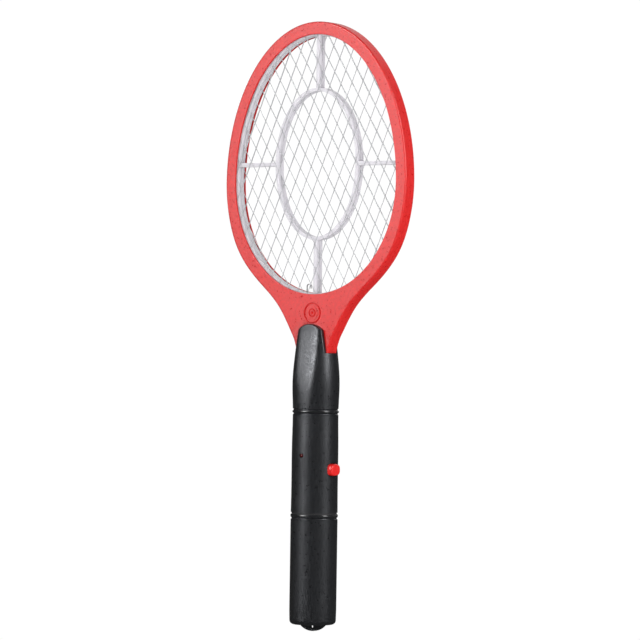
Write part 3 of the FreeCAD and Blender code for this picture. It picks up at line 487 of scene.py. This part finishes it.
def build_screws(name, node_name):
    """Pan-head tapping screws: a cross-slotted head and a rolled thread on each shank."""
    shape = bmesh.new()
    for points in islands(node_name):
        low = Vector([min(p[k] for p in points) for k in range(3)])
        high = Vector([max(p[k] for p in points) for k in range(3)])
        seat_y = high.y - SCREW_HEAD_HEIGHT
        middle = (low + high) / 2
        add_slotted_head(shape, Vector((middle.x, seat_y, middle.z)), (high.z - low.z) / 2)
        add_thread(shape, Vector((middle.x, low.y, middle.z)), seat_y - low.y + 0.05 * MM)
    piece(name, shape, "screw_steel", "racket", node_name)


def circle_points(centre, radius, sides):
    """Evenly spaced (point, turn) pairs round a circle across Y."""
    turns = [2 * math.pi * side / sides for side in range(sides)]
    return [(centre + Vector((math.cos(turn), 0, math.sin(turn))) * radius, turn) for turn in turns]


def head_height(share, turn):
    """Height of a pan head's top, with its cross slots sunk in; share runs 0 to 1 outwards."""
    dome = HEAD_RIM + (1 - HEAD_RIM) * math.sqrt(max(0, 1 - share ** 2.6))
    from_arm = min(abs(math.cos(turn)), abs(math.sin(turn))) * share / SLOT_HALF_WIDTH
    slot = max(0, 1 - from_arm ** 4) * max(0, 1 - (share / SLOT_REACH) ** 8)
    return (dome - SLOT_DEPTH * slot) * SCREW_HEAD_HEIGHT


def add_slotted_head(shape, seat, radius, sides=48):
    """A domed head from its flat seat up and in to the middle of the cross."""
    rings = [[point for point, _ in circle_points(seat, radius, sides)]]
    for share in (1.0, 0.96, 0.9, 0.82, 0.72, 0.62, 0.52, 0.42, 0.32, 0.22, 0.12, 0.03):
        rings.append([point + Vector((0, head_height(share, turn), 0))
                      for point, turn in circle_points(seat, radius * share, sides)])
    add_stack(shape, rings)


def add_thread(shape, tip, length, sides=20, steps_per_turn=8):
    """A shank along +Y with a helical ridge and a tapered point."""
    steps = int(length / SCREW_PITCH * steps_per_turn)
    rings = []
    for step in range(steps + 1):
        y = length * step / steps
        taper = min(1.0, 0.25 + y / SCREW_POINT)
        ring = []
        for point, turn in circle_points(tip + Vector((0, y, 0)), 1, sides):
            phase = (y / SCREW_PITCH - turn / (2 * math.pi)) % 1.0
            ridge = max(0.0, 1 - abs(phase - 0.5) / THREAD_HALF_WIDTH)
            reach = (SCREW_ROOT_RADIUS + (SCREW_CREST_RADIUS - SCREW_ROOT_RADIUS) * ridge) * taper
            middle = Vector((tip.x, point.y, tip.z))
            ring.append(middle + (point - middle) * reach)
        rings.append(ring)
    add_stack(shape, rings)


# ------------------------------------------------------------------ cells
JACKET_INSET = 0.06                # mm, the jacket lies this far inside the cell's full radius
NUB_RADIUS = 2.75               # mm
BAND_START = 12                 # mm from the foot
BAND_WIDTH = 3                  # mm


def build_cell(name, node_name, upwards):
    """An AA cell: steel can and nub, shrunk jacket with rolled-in edges, and a pale band round it."""
    low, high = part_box(node_name)
    radius = (high.x - low.x) / 2 / MM
    tall = (high.z - low.z) / MM
    axis = (0, 0, 1) if upwards else (0, 0, -1)
    foot = ((low.x + high.x) / 2, 0, low.z if upwards else high.z)
    side = radius - JACKET_INSET
    jacket = [(radius - 2.2, 0.5), (radius - 2.2, 0.2), (radius - 0.5, 0.1), (side, 0.5),
              (side, tall - 2.0), (radius - 0.6, tall - 1.3), (radius - 1.8, tall - 1.25),
              (radius - 1.8, tall - 1.5)]
    can = [(0, 0), (radius - 3, 0), (radius - 1.9, 0.25), (radius - 1.9, 0.8), (radius - 0.4, 0.9),
           (radius - 0.4, tall - 2.2), (radius - 1.2, tall - 1.6), (3.2, tall - 1.6), (2.8, tall - 1.3),
           (NUB_RADIUS, tall - 0.3), (2.4, tall), (0, tall)]
    band_end = BAND_START + BAND_WIDTH
    band = [(radius - 0.2, BAND_START), (radius, BAND_START), (radius, band_end), (radius - 0.2, band_end)]
    parts = (("_jacket", jacket, "cell_jacket", None, (node_name,)),
             ("_can", can, "contact_metal", None, ()),
             ("_band", band, "cell_jacket", "cell_band", ()))
    for ending, profile, slot_name, finish, stands_for in parts:
        shape = bmesh.new()
        add_turned(shape, in_metres(rounded(profile, 0.25, 3)), foot, axis, (1, 0, 0), 56)
        piece(name + ending, shape, slot_name, "racket", *stands_for, finish=finish)


build_button()
build_lamp()
build_screws("screws_throat", "throat_screws")
build_screws("screws_handle", "handle_screws")
build_cell("cell_right", "battery_right", True)
build_cell("cell_left", "battery_left", False)


# ------------------------------------------------------------------ ring beads
BEAD_BULGE = 0.30 * MM
BEAD_SINK = 0.35                # share of the bulge that stays under the given radius
BEAD_ROOT = 0.9 * MM            # how far inside the radius its hidden back lies


def build_bead(name, body, z, half_height, radius, arcs):
    """The polished bead between two ring grooves, split where the shells meet."""
    shape = bmesh.new()
    steps, points = 120, 12
    root = radius - BEAD_ROOT
    for first, last in arcs:
        rings = []
        for step in range(steps + 1):
            turn = first + (last - first) * step / steps
            out = Vector((math.cos(turn), math.sin(turn), 0))
            ring = []
            for number in range(points + 1):
                a = math.pi * number / points - math.pi / 2
                reach = radius + BEAD_BULGE * (math.cos(a) - BEAD_SINK)
                ring.append(out * reach + Vector((0, 0, z + half_height * math.sin(a))))
            ring.append(out * root + Vector((0, 0, z + half_height)))
            ring.append(out * root + Vector((0, 0, z - half_height)))
            rings.append(ring)
        add_stack(shape, rings)
    piece(name, shape, "black_plastic", body, finish="polished_black")


SEAM_ANGLE = 0.006
UPPER_HALVES = ((SEAM_ANGLE, math.pi - SEAM_ANGLE), (math.pi + SEAM_ANGLE, 2 * math.pi - SEAM_ANGLE))
WHOLE_TURN = ((0, 2 * math.pi),)
build_bead("bead_upper", "racket", 155.75 * MM, 0.72 * MM, 16.67 * MM, UPPER_HALVES)
build_bead("bead_lower", "sleeve", 80.32 * MM, 0.86 * MM, 17.05 * MM, WHOLE_TURN)


# ------------------------------------------------------------------ badge
BADGE_Z = 227.3 * MM
BADGE_ROOT = -0.3               # mm, how far the reliefs reach into the frame
BADGE_RELIEFS = (               # closed profiles of (radius, height) in mm: inner ring, dot, rim
    [(2.3, BADGE_ROOT), (2.3, 0.28), (2.5, 0.42), (2.9, 0.42), (3.1, 0.28), (3.1, BADGE_ROOT),
     (2.3, BADGE_ROOT)],
    [(0, BADGE_ROOT), (1.0, BADGE_ROOT), (1.0, 0.25), (0.8, 0.38), (0.4, 0.45), (0, 0.46)],
    [(6.7, BADGE_ROOT), (6.7, 0.08), (6.85, 0.16), (7.2, 0.16), (7.38, 0.06), (7.38, BADGE_ROOT),
     (6.7, BADGE_ROOT)])


def build_badge():
    """A plain rim, inner ring and centre dot in relief on the throat's round badge."""
    low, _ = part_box("head_front_frame")
    centre = Vector((0, low.y, BADGE_Z))
    shape = bmesh.new()
    for profile, sides in zip(BADGE_RELIEFS, (56, 40, 72)):
        add_turned(shape, in_metres(profile), centre, (0, -1, 0), (1, 0, 0), sides)
    piece("badge_relief", shape, "red_plastic", "racket", finish="relief_red")


build_badge()


# ------------------------------------------------------------------ stage
def white_sheet(name, glow):
    """Backdrop white that the camera sees and the object doesn't reflect."""
    sheet = bpy.data.materials.new(name)
    sheet.use_nodes = True
    shader = sheet.node_tree.nodes["Principled BSDF"]
    shader.inputs["Base Color"].default_value = (0, 0, 0, 1)
    shader.inputs["Roughness"].default_value = 1
    shader.inputs["Specular IOR Level"].default_value = 0
    shader.inputs["Emission Color"].default_value = (1, 1, 1, 1)
    shader.inputs["Emission Strength"].default_value = glow
    return sheet


def clear_from_below(sheet):
    """Lets a view from under the floor through."""
    tree = sheet.node_tree
    side = tree.nodes.new("ShaderNodeNewGeometry")
    clear = tree.nodes.new("ShaderNodeBsdfTransparent")
    mix = tree.nodes.new("ShaderNodeMixShader")
    tree.links.new(side.outputs["Backfacing"], mix.inputs[0])
    tree.links.new(tree.nodes["Principled BSDF"].outputs[0], mix.inputs[1])
    tree.links.new(clear.outputs[0], mix.inputs[2])
    tree.links.new(mix.outputs[0], tree.nodes["Material Output"].inputs["Surface"])
    return sheet


def stage_mesh(name, builder, material):
    """A backdrop mesh that only the camera sees."""
    mesh = bpy.data.meshes.new(name)
    shape = bmesh.new()
    builder(shape)
    shape.to_mesh(mesh)
    shape.free()
    thing = bpy.data.objects.new(name, mesh)
    mesh.materials.append(material)
    bpy.context.scene.collection.objects.link(thing)
    thing.visible_diffuse = False
    thing.visible_glossy = False
    thing.visible_transmission = False
    thing.visible_shadow = False
    return thing


FLOOR_DROP = 80 * MM            # clear of the battery sleeve when it is pulled down
FLOOR_RADIUS = 9
DOME_RADIUS = 10
floor = stage_mesh(
    "floor",
    lambda shape: bmesh.ops.create_circle(shape, cap_ends=True, segments=96, radius=FLOOR_RADIUS),
    clear_from_below(white_sheet("floor_white", 1.01)))
floor.location.z = CAD_BOX[0].z - FLOOR_DROP
stage_mesh(
    "backdrop",
    lambda shape: bmesh.ops.create_icosphere(shape, subdivisions=4, radius=DOME_RADIUS),
    white_sheet("backdrop_white", 1.02))


# ------------------------------------------------------------------ light
def direction(azimuth, elevation):
    """Unit vector from the object towards a viewer; azimuth 0 looks along +Y."""
    a, e = math.radians(azimuth), math.radians(elevation)
    return Vector((math.sin(a) * math.cos(e), -math.cos(a) * math.cos(e), math.sin(e)))


def softbox(name, azimuth, elevation, distance, width, height, gloss, wash, aim=(0, 0, 0.24), spread=180):
    """A rectangular lamp aimed at a point: gloss is its brightness in reflections, wash on matt surfaces."""
    back = direction(azimuth, elevation)
    for part, radiance in (("gloss", gloss), ("wash", wash)):
        if radiance == 0:
            continue
        light = bpy.data.lights.new(name + "_" + part, "AREA")
        light.shape = "RECTANGLE"
        light.size, light.size_y = width, height
        light.energy = radiance * width * height * math.pi
        if part == "gloss" and spread < 180:
            light.spread = math.radians(spread)
            light.energy *= 1 - light.spread / 2 / math.tan(light.spread / 2)
        lamp = bpy.data.objects.new(light.name, light)
        lamp.location = Vector(aim) + back * distance
        lamp.rotation_euler = (-back).to_track_quat("-Z", "Y").to_euler()
        lamp.visible_camera = False
        lamp.visible_diffuse = part == "wash"
        lamp.visible_glossy = part == "gloss"
        bpy.context.scene.collection.objects.link(lamp)


def room_light(wash, gloss):
    """An even surround: wash lights matt surfaces, gloss is what polished ones reflect of it."""
    world = bpy.data.worlds.new("studio")
    bpy.context.scene.world = world
    world.use_nodes = True
    tree = world.node_tree
    ray = tree.nodes.new("ShaderNodeLightPath")
    level = tree.nodes.new("ShaderNodeMapRange")
    level.inputs["To Min"].default_value = wash
    level.inputs["To Max"].default_value = gloss
    tree.links.new(ray.outputs["Is Glossy Ray"], level.inputs["Value"])
    tree.links.new(level.outputs["Result"], tree.nodes["Background"].inputs["Strength"])
    tree.nodes["Background"].inputs["Color"].default_value = (1, 1, 1, 1)


# name, azimuth, elevation, distance, width, height, gloss, wash, aim, spread
softbox("key", -23, 18, 1.7, 1.40, 0.95, 22.5, 0.7, (0, 0, 0.30), 37)
softbox("high_left", -26, 38, 1.6, 1.20, 0.35, 7.5, 0.0, (0, 0, 0.12), 40)
softbox("side", 94, 24, 1.6, 0.50, 1.25, 9.0, 2.2)
softbox("front_right", 60, -6, 1.7, 1.2, 1.2, 0.0, 5.2)
softbox("rear", 200, 25, 2.0, 1.6, 1.4, 0.8, 1.7)
room_light(0.9, 0.07)


# ------------------------------------------------------------------ camera
CAMERA_AZIMUTH = 36.0
CAMERA_ELEVATION = -0.13
CAMERA_ROLL = 0.84
CAMERA_DISTANCE = 2.705
CAMERA_TARGET = Vector((0.0027, 0, 0.2222))
CAMERA_LENS = 209.8


def add_camera():
    """The camera on its orbit round the target, rolled about its own line of sight."""
    data = bpy.data.cameras.new("camera")
    data.sensor_width = 36
    data.lens = CAMERA_LENS
    data.clip_end = 100
    camera = bpy.data.objects.new("camera", data)
    bpy.context.scene.collection.objects.link(camera)
    back = direction(CAMERA_AZIMUTH, CAMERA_ELEVATION)
    a, roll = math.radians(CAMERA_AZIMUTH), math.radians(CAMERA_ROLL)
    level_right = Vector((math.cos(a), math.sin(a), 0))
    level_up = back.cross(level_right)
    right = level_right * math.cos(roll) + level_up * math.sin(roll)
    up = level_up * math.cos(roll) - level_right * math.sin(roll)
    turn = Matrix((right, up, back)).transposed().to_4x4()
    camera.matrix_world = Matrix.Translation(CAMERA_TARGET + back * CAMERA_DISTANCE) @ turn
    bpy.context.scene.camera = camera


add_camera()
bpy.context.scene.view_settings.view_transform = "Standard"
